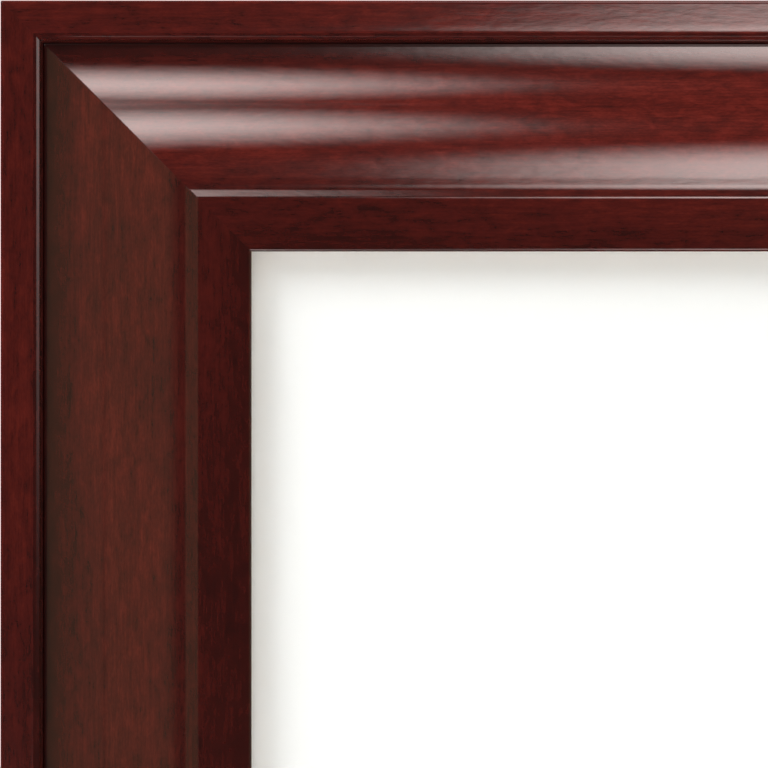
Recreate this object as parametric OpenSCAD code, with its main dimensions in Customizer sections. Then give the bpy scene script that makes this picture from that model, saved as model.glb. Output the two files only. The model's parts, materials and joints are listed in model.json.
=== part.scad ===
// Bevelled wooden picture frame, hung upright on a wall with its glass, blank sheet and back.
// X runs across, Z runs up and the face looks along -Y.
// The origin is where a wall hook bears inside the top hanger's ring.

/* [Glass and boards] */
// Width of the glass, the sheet and the boards behind it
sheet_w = 279.4; // [200:0.1:600]
// Height of the glass, the sheet and the boards behind it
sheet_h = 355.6; // [220:0.1:800]
// Play left all round them in the rabbet
sheet_play = 1.6; // [0.5:0.1:3]
// Thickness of the glass
glass_t = 2; // [1.5:0.1:3]
// Thickness of the blank sheet that shows behind the glass
insert_t = 1.5; // [0.5:0.1:2.5]
// Thickness of the hardboard back
backing_t = 3.2; // [2.4:0.1:4]

/* [Moulding] */
// Width of the moulding across its face
rail_w = 63.5; // [56:0.5:100]
// Depth of the moulding from its back to the top of its outer lip
rail_d = 30; // [28:0.5:45]
// Width of the rabbet that the glass sits in
rabbet_w = 6.35; // [4:0.05:10]
// Depth of the rabbet from the back
rabbet_d = 10; // [9:0.1:12]
// Rounding of the outer arris
edge_round = 1.2; // [0.5:0.1:3]
// Chamfer of the back's outer arris
back_ease = 0.8; // [0.3:0.1:2]
// Rounding of the sight edge beside the glass
sight_round = 0.7; // [0.3:0.1:2]

/* [Lip and quirk] */
// Width of the outer lip's top
lip_w = 7.6; // [5:0.1:9]
// Slope of the lip's top towards the scoop, in degrees
lip_fall = 5; // [0:0.5:8]
// Rounding of the lip's inner arris
lip_round = 1; // [0.5:0.1:2.4]
// Slope of the lip's inner wall, in degrees
lip_slope = 62; // [45:1:70]
// Height of the lip above the quirk's floor
lip_drop = 2.9; // [2.5:0.1:4]
// Width of the quirk's floor
quirk_w = 1.4; // [0.6:0.1:2]
// Depth of the quirk below the scoop's upper arris
quirk_d = 0.8; // [0.6:0.1:1.4]
// Slope of the quirk's inner wall, in degrees
quirk_slope = 65; // [45:1:80]
// Rounding of the scoop's upper arris
arris_round = 0.9; // [0.2:0.1:1.1]

/* [Scoop and bead] */
// Slope at the scoop's upper arris, in degrees
crown_slope = 9.2; // [4:0.1:14]
// Slope at the scoop's steepest line, in degrees
steep_slope = 33.4; // [28:0.1:36]
// Slope at the scoop's foot, in degrees
foot_slope = 4; // [0:0.5:8]
// Radius of the scoop's rounded upper half
crown_r = 37; // [30:1:42]
// Radius of the scoop's hollow lower half
hollow_r = 41; // [36:1:46]
// Slope of the bead's face, in degrees
bead_slope = 19.4; // [16:0.1:26]
// Length of the bead's face down its slope
bead_face = 1.2; // [0.4:0.1:2]
// Radius of the bead's rounded top
bead_round = 7; // [4:0.1:9]
// Radius of the hollow between the bead and the sight flat
bead_foot_r = 3.2; // [1:0.1:5]

/* [Corner nails] */
// Width of a V-nail across its wings
nail_w = 10; // [6:0.5:14]
// Depth of a V-nail's V in plan
nail_v = 3; // [1.5:0.5:5]
// Thickness of a V-nail's steel
nail_t = 0.7; // [0.4:0.1:1]
// Height of a V-nail, driven flush into the back
nail_h = 10; // [6:1:12]
// Places of a corner's V-nails, as shares of the moulding's width from the outer edge
nail_shares = [0.42, 0.7];

/* [Turn buttons] */
// Length of a turn button from its screw to the centre of its tip
button_len = 25; // [20:0.5:32]
// Width of a turn button round its screw
button_w = 10.5; // [9:0.5:14]
// Width of a turn button at its tip
button_tip_w = 7; // [5:0.5:9]
// Thickness of a turn button's steel
button_t = 0.9; // [0.6:0.1:1.5]
// Length of the tip that is bent up for a fingernail
button_bend = 5; // [3:0.5:7]
// Height that the tip is bent up by
button_rise = 1.4; // [0.8:0.1:2]
// Distance of a turn button's screw from the rabbet's wall
button_in = 11; // [9:0.5:16]
// Place of the turn buttons from the middle of each side, as a share of the sheet's side
button_share = 0.27; // [0.2:0.01:0.35]

/* [Hangers] */
// Width of a hanger's strap
strap_w = 12.7; // [10:0.1:13.5]
// Length of a strap from the ring's bar to its rounded end
strap_len = 32; // [30:0.5:38]
// Thickness of the strap's steel, which is folded double
strap_t = 0.9; // [0.6:0.1:1.2]
// Distance from the ring's bar to the strap's first screw
strap_screw = 15.6; // [15.2:0.1:17]
// Distance between the strap's two screws
strap_pitch = 10; // [8:0.5:10.5]
// Distance of the ring's bar from the frame's outer edge
hanger_in = 16; // [14:0.5:20]
// Diameter of the ring's wire
ring_wire = 2.2; // [1.6:0.1:2.4]
// Radius of the ring's bow, to the middle of its wire
ring_r = 9; // [8.6:0.1:9.6]
// Radius of the ring's two corners, to the middle of their wire
ring_corner_r = 1.5; // [1.3:0.1:1.6]
// Running clearance round the ring's bar
ring_clear = 0.1; // [0.05:0.01:0.1]

/* [Screws] */
// Diameter of a screw's shank
screw_dia = 3.5; // [2.5:0.1:4]
// Length of a screw below its head
screw_len = 12; // [10:0.5:16]
// Length of a screw's point
screw_point = 3; // [2:0.5:5]
// Diameter of a screw's pan head
screw_head_dia = 6.6; // [6:0.1:7]
// Height of a screw's pan head
screw_head_h = 2; // [1.4:0.1:2.6]
// Height of the straight rim of a screw's head
screw_rim_h = 0.6; // [0.3:0.1:0.9]
// Running clearance of a turn button round and under its screw
button_clear = 0.1; // [0.05:0.01:0.1]
// Clearance of a screw in its pilot hole
pilot_clear = 0.05; // [0.02:0.01:0.1]

/* [Wall bumpers] */
// Diameter of a bumper where it is stuck on
bumper_dia = 11; // [8:0.5:16]
// Diameter of a bumper's flat end on the wall
bumper_end_dia = 9; // [6:0.5:14]
// Height of a bumper, a little more than the hanger's
bumper_h = 5; // [4.6:0.1:8]
// Distance of a bumper from the frame's outer edges
bumper_in = 14; // [10:0.5:20]

/* [Hidden] */
$fn = 64;
overrun = 1;
half_steps = 8;
round_steps = 4;
cap_steps = 10;
loop_lift = 0.05;
fold_share = 0.7;
mitre = 45;

rabbet_side = rail_w - rabbet_w;
outer_w = sheet_w + 2 * (sheet_play + rabbet_side);
outer_h = sheet_h + 2 * (sheet_play + rabbet_side);
filler_t = rabbet_d - glass_t - insert_t - backing_t;
button_line = rabbet_side - button_in;
bar_r = ring_wire / 2;
loop_eye_r = bar_r + ring_clear;
loop_r = loop_eye_r + strap_t;
loop_h = loop_r + loop_lift;
ring_bar = 2 * (ring_r - ring_corner_r);
hook_reach = ring_corner_r + ring_r - bar_r;
hook_z = outer_h / 2 - hanger_in + hook_reach;
strap_screws = [strap_screw, strap_screw + strap_pitch];

// Each corner: its name, its side and its height
corners = [
    ["top_left", -1, 1],
    ["top_right", 1, 1],
    ["bottom_left", -1, -1],
    ["bottom_right", 1, -1],
];
// Each turn button: its name, its screw's place and the turn that points it at the opening
button_x = sheet_w * button_share;
button_z = sheet_h * button_share;
button_side_x = outer_w / 2 - button_line;
button_side_z = outer_h / 2 - button_line;
buttons = [
    ["top_left", -button_x, button_side_z, 180],
    ["top_right", button_x, button_side_z, 180],
    ["bottom_left", -button_x, -button_side_z, 0],
    ["bottom_right", button_x, -button_side_z, 0],
    ["left_upper", -button_side_x, button_z, 90],
    ["left_lower", -button_side_x, -button_z, 90],
    ["right_upper", button_side_x, button_z, -90],
    ["right_lower", button_side_x, -button_z, -90],
];
// Each hanger: its name, the place of its ring's bar and the turn that points its ring out
hangers = [
    ["top", 0, outer_h / 2 - hanger_in, 0],
    ["side", hanger_in - outer_w / 2, 0, -90],
];

// Points of an arc that starts at p, while the downhill slope goes from a to b degrees
function bend(p, r, a, b, steps) =
    [for (i = [0 : steps])
        let (s = sign(b - a), t = a + (b - a) * i / steps)
            p + s * r * [sin(t) - sin(a), cos(t) - cos(a)]];

// Points of an arc round c, from angle a to angle b
function arc(c, r, a, b, steps) =
    [for (i = [0 : steps]) let (t = a + (b - a) * i / steps) c + r * [cos(t), sin(t)]];

function last(points) = points[len(points) - 1];

// The next point down a straight slope of the given drop
function downhill(p, slope, drop) = p + [drop / tan(slope), -drop];

// The face from the outer arris to the sight edge: lip, quirk, scoop, bead and sight flat
edge_arc = bend([0, rail_d - edge_round], edge_round, -90, lip_fall, round_steps);
lip_end = last(edge_arc) + (lip_w - last(edge_arc)[0]) * [1, -tan(lip_fall)];
lip_arc = bend(lip_end, lip_round, lip_fall, lip_slope, round_steps);
quirk_foot = downhill(last(lip_arc), lip_slope, last(lip_arc)[1] - rail_d + lip_drop);
quirk_rise = quirk_d - arris_round * (1 - cos(quirk_slope));
quirk_top = downhill(quirk_foot + [quirk_w, 0], -quirk_slope, -quirk_rise);
arris_arc = bend(quirk_top, arris_round, -quirk_slope, crown_slope, round_steps);
crown_arc = bend(last(arris_arc), crown_r, crown_slope, steep_slope, half_steps);
hollow_arc = bend(last(crown_arc), hollow_r, steep_slope, foot_slope, half_steps);
bead_arc = bend(last(hollow_arc), bead_round, foot_slope, bead_slope, round_steps);
bead_foot = last(bead_arc) + bead_face * [cos(bead_slope), -sin(bead_slope)];
foot_arc = bend(bead_foot, bead_foot_r, bead_slope, 0, round_steps);
sight_h = last(foot_arc)[1];

// Section of the moulding: distance in from the outer edge, and height above the back
profile = concat(
    edge_arc, lip_arc, [quirk_foot, quirk_foot + [quirk_w, 0]],
    arris_arc, crown_arc, hollow_arc, bead_arc, foot_arc,
    bend([rail_w - sight_round, sight_h], sight_round, 0, 90, round_steps),
    [[rail_w, rabbet_d], [rabbet_side, rabbet_d], [rabbet_side, 0]],
    [[back_ease, 0], [0, back_ease]]
);

// Brings the frame from its middle to the hook in the top ring
module hung() translate([0, -loop_h, -hook_z]) children();

// A shape drawn in X and Z that goes from the back into the wood
module inward(depth) rotate([90, 0, 0]) linear_extrude(depth) children();

// A shape drawn in X and Z that stands up from the back
module outward(height) translate([0, height, 0]) inward(height) children();

// A shape drawn in Z and Y that runs across X
module across(width) rotate([0, -90, 0]) linear_extrude(width, center = true) children();

// A round hole or shaft whose axis runs along Y
module along_y() rotate([-90, 0, 0]) children();

// A corner of the frame, with Z running inward along the mitre
module at_corner(c)
    translate([c[1] * outer_w / 2, 0, c[2] * outer_h / 2])
        rotate([0, atan2(-c[1], -c[2]), 0]) children();

// The screw of a turn button, with Z running along its finger
module at_button(b) translate([b[1], 0, b[2]]) rotate([0, b[3], 0]) children();

// The bar of a hanger's ring, with Z running out through the ring
module at_hanger(h) translate([h[1], 0, h[2]]) rotate([0, h[3], 0]) children();

module mitred_length(length)
    intersection() {
        rotate([180, -90, 0]) linear_extrude(length, center = true) polygon(profile);
        translate([0, overrun, 0])
            inward(rail_d + 2 * overrun)
                polygon([
                    [-length / 2, 0],
                    [length / 2, 0],
                    [length / 2 - rail_w, rail_w],
                    [rail_w - length / 2, rail_w],
                ]);
    }

// One side of the frame, turned from the bottom to its place, with its nail slots and pilot holes
module side(turn, length, reach)
    hung()
        difference() {
            rotate([0, turn, 0]) translate([0, 0, -reach / 2]) mitred_length(length);
            for (c = corners) at_corner(c) nail_pair(overrun);
            for (b = buttons) at_button(b) pilot_hole();
            for (h = hangers, z = strap_screws) at_hanger(h) translate([0, 0, -z]) pilot_hole();
        }

module pilot_hole()
    along_y() translate([0, 0, -screw_len]) cylinder(h = screw_len + overrun, r = screw_dia / 2 + pilot_clear);

// The two V-nails of a corner, or their slots when they start above the back
module nail_pair(above)
    for (s = nail_shares)
        translate([0, above, s * rail_w / cos(mitre)])
            inward(nail_h + above)
                polygon([
                    [-nail_w / 2, nail_v],
                    [0, 0],
                    [nail_w / 2, nail_v],
                    [nail_w / 2, nail_v + nail_t],
                    [0, nail_t],
                    [-nail_w / 2, nail_v + nail_t],
                ]);

module corner_nails(c) color("silver") hung() at_corner(c) nail_pair(0);

// A flat sheet in the rabbet, with its front face at the given height above the back
module sheet(front, t) hung() translate([-sheet_w / 2, -front, -sheet_h / 2]) cube([sheet_w, t, sheet_h]);

module glazing() color("lightcyan", 0.35) sheet(rabbet_d, glass_t);
module insert_sheet() color("white") sheet(rabbet_d - glass_t, insert_t);
module filler_board() color("burlywood") sheet(backing_t + filler_t, filler_t);
module backing_board() color("sienna") sheet(backing_t, backing_t);

// A stamped steel button: a tapered finger on a round eye, its tip bent up
module turn_button(b)
    color("silver") hung() at_button(b)
        difference() {
            intersection() {
                outward(button_t + button_rise + overrun)
                    polygon(concat(
                        arc([0, 0], button_w / 2, 180, 360, cap_steps),
                        arc([0, button_len], button_tip_w / 2, 0, 180, cap_steps)
                    ));
                across(button_w + overrun) polygon(button_side);
            }
            along_y() translate([0, 0, -overrun])
                cylinder(h = button_t + 2 * overrun, r = screw_dia / 2 + button_clear);
        }

// Side view of a turn button: distance along the finger, and height above the back
bend_start = button_len + button_tip_w / 2 - button_bend;
button_side = [
    [-button_w, 0],
    [bend_start, 0],
    [bend_start + button_bend, button_rise],
    [bend_start + button_bend, button_rise + button_t],
    [bend_start, button_t],
    [-button_w, button_t],
];

// A pan-head wood screw whose head starts at the given height above the back
module screw(under)
    along_y()
        rotate_extrude()
            polygon(concat(
                [
                    [0, -screw_len],
                    [screw_dia / 2, screw_point - screw_len],
                    [screw_dia / 2, under],
                    [screw_head_dia / 2, under],
                    [screw_head_dia / 2, under + screw_rim_h],
                ],
                [for (i = [1 : round_steps])
                    let (t = 90 * i / round_steps)
                        [
                            screw_head_dia / 2 * cos(t),
                            under + screw_rim_h + (screw_head_h - screw_rim_h) * sin(t),
                        ]]
            ));

module turn_button_screws()
    color("gold") hung() for (b = buttons) at_button(b) screw(button_t + button_clear);

// A steel strap folded double, with the fold rolled round the ring's bar
module hanger_strap(h)
    color("silver") hung() at_hanger(h)
        difference() {
            intersection() {
                across(strap_w)
                    difference() {
                        union() {
                            translate([0, loop_h]) circle(r = loop_r);
                            translate([-strap_len, 0]) square([strap_len, strap_t]);
                            translate([-strap_len, 0])
                                square([strap_len - fold_share * loop_r, 2 * strap_t]);
                        }
                        translate([0, loop_h]) circle(r = loop_eye_r);
                    }
                outward(loop_h + loop_r + overrun)
                    polygon(concat(
                        arc([0, strap_w / 2 - strap_len], strap_w / 2 + overrun, 180, 360, cap_steps),
                        [[strap_w / 2 + overrun, loop_r + overrun], [-strap_w / 2 - overrun, loop_r + overrun]]
                    ));
            }
            for (z = strap_screws)
                translate([0, -overrun, -z])
                    along_y() cylinder(h = 2 * (strap_t + overrun), r = screw_dia / 2 + pilot_clear);
        }

// A steel D-ring: a bar in the strap's roll, two tight corners and a round bow
module hanger_ring(h)
    color("silver") hung() at_hanger(h) translate([0, loop_h, 0]) {
        rotate([0, 90, 0]) cylinder(h = ring_bar, r = bar_r, center = true);
        for (s = [-1, 1])
            translate([s * ring_bar / 2, 0, ring_corner_r])
                rotate([90, 0, 0]) rotate([0, 0, s < 0 ? 180 : 270])
                    rotate_extrude(angle = 90) translate([ring_corner_r, 0]) circle(r = bar_r);
        translate([0, 0, ring_corner_r])
            rotate([90, 0, 0]) rotate_extrude(angle = 180) translate([ring_r, 0]) circle(r = bar_r);
    }

module hanger_screws()
    color("gold") hung()
        for (h = hangers, z = strap_screws) at_hanger(h) translate([0, 0, -z]) screw(2 * strap_t);

// A stuck-on rubber bumper that keeps the frame off the wall
module wall_bumper(c)
    color("dimgray") hung()
        translate([c[1] * (outer_w / 2 - bumper_in), 0, c[2] * (outer_h / 2 - bumper_in)])
            along_y() cylinder(h = bumper_h, r1 = bumper_dia / 2, r2 = bumper_end_dia / 2);

module wood() color("#6b2a22") children();
module top_rail() wood() side(180, outer_w, outer_h);
module bottom_rail() wood() side(0, outer_w, outer_h);
module left_stile() wood() side(90, outer_h, outer_w);
module right_stile() wood() side(-90, outer_h, outer_w);

top_rail();
bottom_rail();
left_stile();
right_stile();
for (c = corners) corner_nails(c);
glazing();
insert_sheet();
filler_board();
backing_board();
for (b = buttons) turn_button(b);
turn_button_screws();
for (h = hangers) hanger_strap(h);
for (h = hangers) hanger_ring(h);
hanger_screws();
for (c = corners) wall_bumper(c);
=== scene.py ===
"""Bevelled picture frame: stained and lacquered mouldings, glass, back and fittings, in a small studio.

X runs across, Z runs up and the frame faces -Y. Sizes are in metres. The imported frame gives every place, and
the sizes below shape what is drawn round it.
"""

import bisect
import json
import math

import bmesh
import bpy
from bpy.props import FloatProperty, FloatVectorProperty, PointerProperty
from mathutils import Matrix, Vector


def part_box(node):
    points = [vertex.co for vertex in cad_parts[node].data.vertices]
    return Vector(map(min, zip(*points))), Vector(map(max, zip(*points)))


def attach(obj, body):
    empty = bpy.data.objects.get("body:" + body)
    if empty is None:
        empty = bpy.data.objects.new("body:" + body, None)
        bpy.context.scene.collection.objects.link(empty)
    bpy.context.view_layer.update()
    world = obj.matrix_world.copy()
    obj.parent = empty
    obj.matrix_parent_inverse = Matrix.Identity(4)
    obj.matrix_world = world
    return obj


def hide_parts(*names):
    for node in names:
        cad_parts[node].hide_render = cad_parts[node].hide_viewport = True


bl_info = {
    "name": "Bevelled Picture Frame",
    "version": (1, 0, 0),
    "blender": (4, 5, 0),
    "location": "3D View > Sidebar > Frame",
    "description": "Dresses a mitred picture frame and sets it in a small studio",
    "category": "Object",
}

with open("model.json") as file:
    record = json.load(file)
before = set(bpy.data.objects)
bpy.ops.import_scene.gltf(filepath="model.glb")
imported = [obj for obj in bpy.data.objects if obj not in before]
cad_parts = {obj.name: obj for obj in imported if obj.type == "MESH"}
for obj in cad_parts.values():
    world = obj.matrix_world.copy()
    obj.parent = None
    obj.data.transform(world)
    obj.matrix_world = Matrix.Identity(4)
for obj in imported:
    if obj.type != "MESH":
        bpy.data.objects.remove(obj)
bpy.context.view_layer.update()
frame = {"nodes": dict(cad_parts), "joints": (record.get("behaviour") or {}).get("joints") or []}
NODES = frame["nodes"]
JOINTS = {joint["child"]: joint for joint in frame["joints"]}

MM = 0.001
CORNERS = ("top_left", "top_right", "bottom_left", "bottom_right")
# Each side: its node, the turn about Y that brings the bottom rail there, and its lightness
# Their lightness is partly each piece's own tone and partly painted shade, most on the dark left stile
SIDES = (
    ("top_rail", 180, 1.03), ("bottom_rail", 0, 0.9),
    ("left_stile", 90, 0.53), ("right_stile", -90, 0.94),
)
# Each turn button: its name and the turn that points it at the opening
BUTTONS = (
    ("top_left", 180), ("top_right", 180), ("bottom_left", 0), ("bottom_right", 0),
    ("left_upper", 90), ("left_lower", 90), ("right_upper", -90), ("right_lower", -90),
)
# Each hanger: its name and the turn that points its ring out
HANGERS = (("top", 0), ("side", -90))
SOFT = (0.2, 0.2, 0.2, 0.2)
# Each lamp: its name, which is also its brightness's, what it is aimed at, its shift right and up, its turn
# right and up from the view's axis in degrees, its distance, its size, the shares of its size over which its
# glow fades from the left, right, bottom and top, and its colour where it isn't white
LAMPS = (
    ("low_left", "scoop", (-0.1675, 0), (0, -48.4), 2.2, (0.505, 1.5), (0.28, 0.37, 0.5, 0.5)),
    ("low_right", "scoop", (0.14, 0), (0, -21.9), 2.2, (0.332, 1.355), (0.6, 0.36, 0.576, 0.221)),
    ("low_end", "scoop", (-0.16, 0), (0, -69), 2.2, (0.5, 0.6), (0.3, 0.6, 0.4, 0.4)),
    ("key", "view", (0, 0), (-75, 45), 1.3, (1.5, 1.1), SOFT),
    ("fill", "view", (0, 0), (60, 26), 1.3, (0.7, 0.6), SOFT),
    ("high", "view", (0.17, 0), (0, 50), 1.6, (0.42, 1.3), (0.41, 0.2, 0.3, 0.3)),
    ("rim", "view", (0.17, 0), (180, 75), 1.5, (0.42, 1.6), (0.2, 0.41, 0.3, 0.3)),
    ("side", "view", (0, 0), (38, 0), 1.0, (1.3, 0.9), SOFT, "#fffbcc"),
    ("graze", "view", (0, 0.4), (85, 0), 1.2, (0.4, 1.0), (0.3, 0.1, 0.32, 0.1)),
    ("behind_left", "frame", (0, 0), (-145, 30), 1.6, (1.2, 1.2), SOFT),
    ("behind_right", "frame", (0, 0), (150, 20), 1.6, (1.2, 1.2), SOFT),
)

RAIL_LOW, RAIL_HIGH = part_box("top_rail")
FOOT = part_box("bottom_rail")[0].z
OUTER_W = RAIL_HIGH.x - RAIL_LOW.x
OUTER_H = RAIL_HIGH.z - FOOT
RAIL_W = RAIL_HIGH.z - RAIL_LOW.z
RAIL_D = RAIL_HIGH.y - RAIL_LOW.y
BACK_Y = RAIL_HIGH.y
CENTRE = Vector((0, BACK_Y, (RAIL_HIGH.z + FOOT) / 2))
GLASS_LOW, GLASS_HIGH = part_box("glazing")
RABBET_D = BACK_Y - GLASS_LOW.y
# The view's plane, this far in front of the back, and the middle of the scoop from the outer edge
SIGHT_D = 22 * MM
SCOOP_W = 29 * MM


def length(name, about, mm, most=1.0):
    """A length that a user can set, here given in millimetres."""
    values = {"default": mm * MM, "min": 0, "max": most, "unit": "LENGTH", "precision": 5}
    return FloatProperty(name=name, description=about, **values)


def angle(name, about, degrees):
    """An angle that a user can set."""
    return FloatProperty(name=name, description=about, default=math.radians(degrees), subtype="ANGLE")


def number(name, about, default, most=1.0):
    """A plain number that a user can set."""
    return FloatProperty(name=name, description=about, default=default, min=0, max=most)


def linear(code):
    """The linear colour of an sRGB hex code."""
    shares = [int(code[i : i + 2], 16) / 255 for i in (1, 3, 5)]
    return [s / 12.92 if s <= 0.04045 else ((s + 0.055) / 1.055) ** 2.4 for s in shares]


def colour(name, about, code):
    """A colour that a user can set."""
    values = {"default": linear(code), "size": 3, "min": 0, "max": 1, "subtype": "COLOR"}
    return FloatVectorProperty(name=name, description=about, **values)


class MouldingSizes(bpy.types.PropertyGroup):
    """The section of the moulding, from the outer arris in to the sight edge."""

    edge_round: length("Outer rounding", "Rounding of the outer arris", 0.8)
    back_ease: length("Back chamfer", "Chamfer of the back's outer arris", 0.8)
    sight_round: length("Sight rounding", "Rounding of the sight edge", 0.7)
    rabbet_w: length("Rabbet width", "Width of the rabbet that the glass sits in", 6.35)
    lip_w: length("Lip width", "Width of the outer lip's sloping top", 7.6)
    lip_fall: angle("Lip fall", "Slope of the lip's top towards the scoop", 5.2)
    lip_crown_w: length("Lip crown width", "Width of the lip's sanded crown beside its arris", 2.0)
    lip_crown: angle("Lip crown", "Slope of the lip's crown at its inner edge", 6.1)
    band_w: length("Band width", "Width of the flatter band beside the lip's top", 1.45)
    band_slope: angle("Band slope", "Slope of the band", 0.8)
    band_cove_r: length("Band cove", "Radius of the cove between the lip's top and the band", 9.8)
    lip_round: length("Lip rounding", "Rounding of the arrises of the band and the bevel", 0.1)
    bevel_w: length("Bevel width", "Width of the bevel beside the band", 0.7)
    bevel_slope: angle("Bevel slope", "Slope of the bevel", 42)
    lip_slope: angle("Lip slope", "Slope of the lip's inner wall", 75)
    lip_drop: length("Lip height", "Height of the lip above the quirk's floor", 2.9)
    quirk_w: length("Quirk width", "Width of the quirk's floor", 0.4)
    quirk_d: length("Quirk depth", "Depth of the quirk below the scoop's upper arris", 0.8)
    quirk_slope: angle("Quirk slope", "Slope of the quirk's inner wall", 65)
    arris_round: length("Arris rounding", "Rounding of the scoop's upper arris", 0.9)
    crown_slope: angle("Crown slope", "Slope at the scoop's upper arris", 9.2)
    steep_slope: angle("Steepest slope", "Slope at the scoop's steepest line", 33.4)
    foot_slope: angle("Foot slope", "Slope at the scoop's foot", 4.8)
    foot_run: length("Foot run", "Length of the straight run at the scoop's foot", 1.13)
    crown_r: length("Crown radius", "Radius of the scoop's rounded upper half", 37)
    hollow_r: length("Hollow radius", "Radius of the scoop's hollow lower half", 41)
    bead_slope: angle("Bead slope", "Slope of the bead's face", 19.1)
    bead_face: length("Bead face", "Length of the bead's face down its slope", 1.5)
    bead_round: length("Bead rounding", "Radius of the bead's rounded top", 6.4)
    bead_foot_r: length("Bead foot", "Radius of the hollow between the bead and the sight flat", 2.1)
    lip_tone: number("Lip tone", "Lightness of the lip's stain against the scoop's", 0.75)
    band_tone: number("Band tone", "Lightness of the stain on the band beside the lip's top", 0.45)
    # Painted shade: the quirk's tone darkens the lip's inner wall and the quirk's floor, where shade falls.
    quirk_tone: number("Quirk tone", "Lightness of the stain that stayed in the quirk", 0.6)
    # Painted shadow: the tone at the scoop's upper arris, lightening over the crown fade, stands for the lip's
    # shadow.
    crown_tone: number("Crown tone", "Lightness of the stain at the scoop's upper arris", 0.2)
    bead_tone: number("Bead tone", "Lightness of the stain along the bead", 0.62)
    sight_tone: number("Sight edge tone", "Lightness of the stain at the sight edge", 0.4)
    # Painted shade: the drift swings each side's lightness along it, for the light falling off along the
    # sides.
    drift: number("Drift", "Share by which the stain grows lighter and darker along each side", 0.3)
    drift_len: length("Drift length", "Length over which the stain goes from light to dark again", 1100, 10)
    crown_fade: number("Crown fade", "Share of the scoop over which the stain lightens from its arris", 0.27)
    bead_fade: number("Bead fade", "Share of the scoop over which the stain would go from none to full", 0.5)
    mitre_ease: length("Mitre ease", "Depth to which sanding has softened the mitre's arrises", 0.06)
    mitre_reach: length("Mitre reach", "Distance over which the mitre's arrises are softened", 0.2)


class FittingSizes(bpy.types.PropertyGroup):
    """The stamped and turned fittings on the back."""

    button_len: length("Button length", "From a turn button's screw to the centre of its tip", 25)
    button_w: length("Button width", "Width of a turn button round its screw", 10.5)
    button_tip_w: length("Button tip", "Width of a turn button at its tip", 7)
    button_t: length("Button steel", "Thickness of a turn button", 0.9)
    button_bend: length("Button bend", "Length of the tip that is bent up", 5)
    button_rise: length("Button rise", "Height that the tip is bent up by", 1.4)
    screw_dia: length("Shank", "Diameter of a screw's shank", 3.5)
    screw_head: length("Head", "Diameter of a screw's pan head", 6.6)
    screw_head_h: length("Head height", "Height of a screw's pan head", 2)
    screw_rim_h: length("Head rim", "Height of the straight rim of a screw's head", 0.6)
    screw_len: length("Screw length", "Length of a screw below the moulding's back", 12)
    screw_point: length("Screw point", "Length of a screw's point", 3)
    thread_pitch: length("Thread pitch", "Distance between the turns of a screw's thread", 1.3)
    thread_deep: length("Thread depth", "Depth of a screw's thread", 0.4)
    button_clear: length("Button clearance", "Clearance of a turn button round and under its screw", 0.1)
    pilot_clear: length("Pilot clearance", "Clearance of a screw in its pilot hole", 0.05)
    strap_w: length("Strap width", "Width of a hanger's strap", 12.7)
    strap_len: length("Strap length", "From the ring's bar to the strap's rounded end", 32)
    strap_t: length("Strap steel", "Thickness of the strap's steel, which is folded double", 0.9)
    strap_screw: length("First screw", "From the ring's bar to the strap's first screw", 15.6)
    strap_pitch: length("Screw pitch", "Between the strap's two screws", 10)
    ring_wire: length("Ring wire", "Diameter of a ring's wire", 2.2)
    ring_r: length("Ring bow", "Radius of a ring's bow to the middle of its wire", 9)
    ring_corner_r: length("Ring corner", "Radius of a ring's corners to the middle of their wire", 1.5)
    ring_clear: length("Ring clearance", "Clearance round a ring's bar", 0.1)
    fitting_ease: length("Stamped edge", "Rounding of a stamped fitting's edges", 0.18)
    bumper_end: length("Bumper end", "Diameter of a bumper's end on the wall", 9)
    bumper_round: length("Bumper rounding", "Rounding of a bumper's outer rim", 1.1)
    pane_ease: length("Seamed edge", "Chamfer of the glass pane's cut edges", 0.3)
    pane_gap: length("Pane gap", "Air between the pane and the sheet behind it", 0.08)


class FinishColours(bpy.types.PropertyGroup):
    """The colours of the finishes."""

    wood_dark: colour("Dark stain", "Stain in the dark, open grain", "#340f0c")
    wood_mid: colour("Red stain", "Stain on most of the wood", "#551813")
    wood_light: colour("Light stain", "Stain on the hard, closed grain", "#70231b")
    lacquer: colour("Lacquer sheen", "Tint of the lacquer's highlights", "#ffeae6")
    raw_wood: colour("Raw wood", "Bare wood of the moulding's back", "#b98f63")
    raw_wood_dark: colour("Raw grain", "Grain lines of the bare wood", "#94693f")
    glass: colour("Glass", "The clear pane", "#f8fdfc")
    card: colour("White card", "The blank sheet", "#ededed")
    hardboard: colour("Hardboard", "The smooth brown back", "#6e4a30")
    brown_card: colour("Filler card", "The card between the sheet and the back", "#a8875e")
    steel: colour("Nail steel", "The corner nails", "#8d8c8a")
    zinc: colour("Zinc plate", "Turn buttons and straps", "#b4b6b8")
    nickel: colour("Nickel plate", "The rings", "#c9c6c0")
    brass: colour("Brass plate", "The screws", "#c9a35a")
    rubber: colour("Rubber", "The wall bumpers", "#1c1c1d")
    floor: colour("Floor", "The studio floor", "#e6e5e3")
    room: colour("Room", "The room as the camera sees it", "#e9e7e6")


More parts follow.
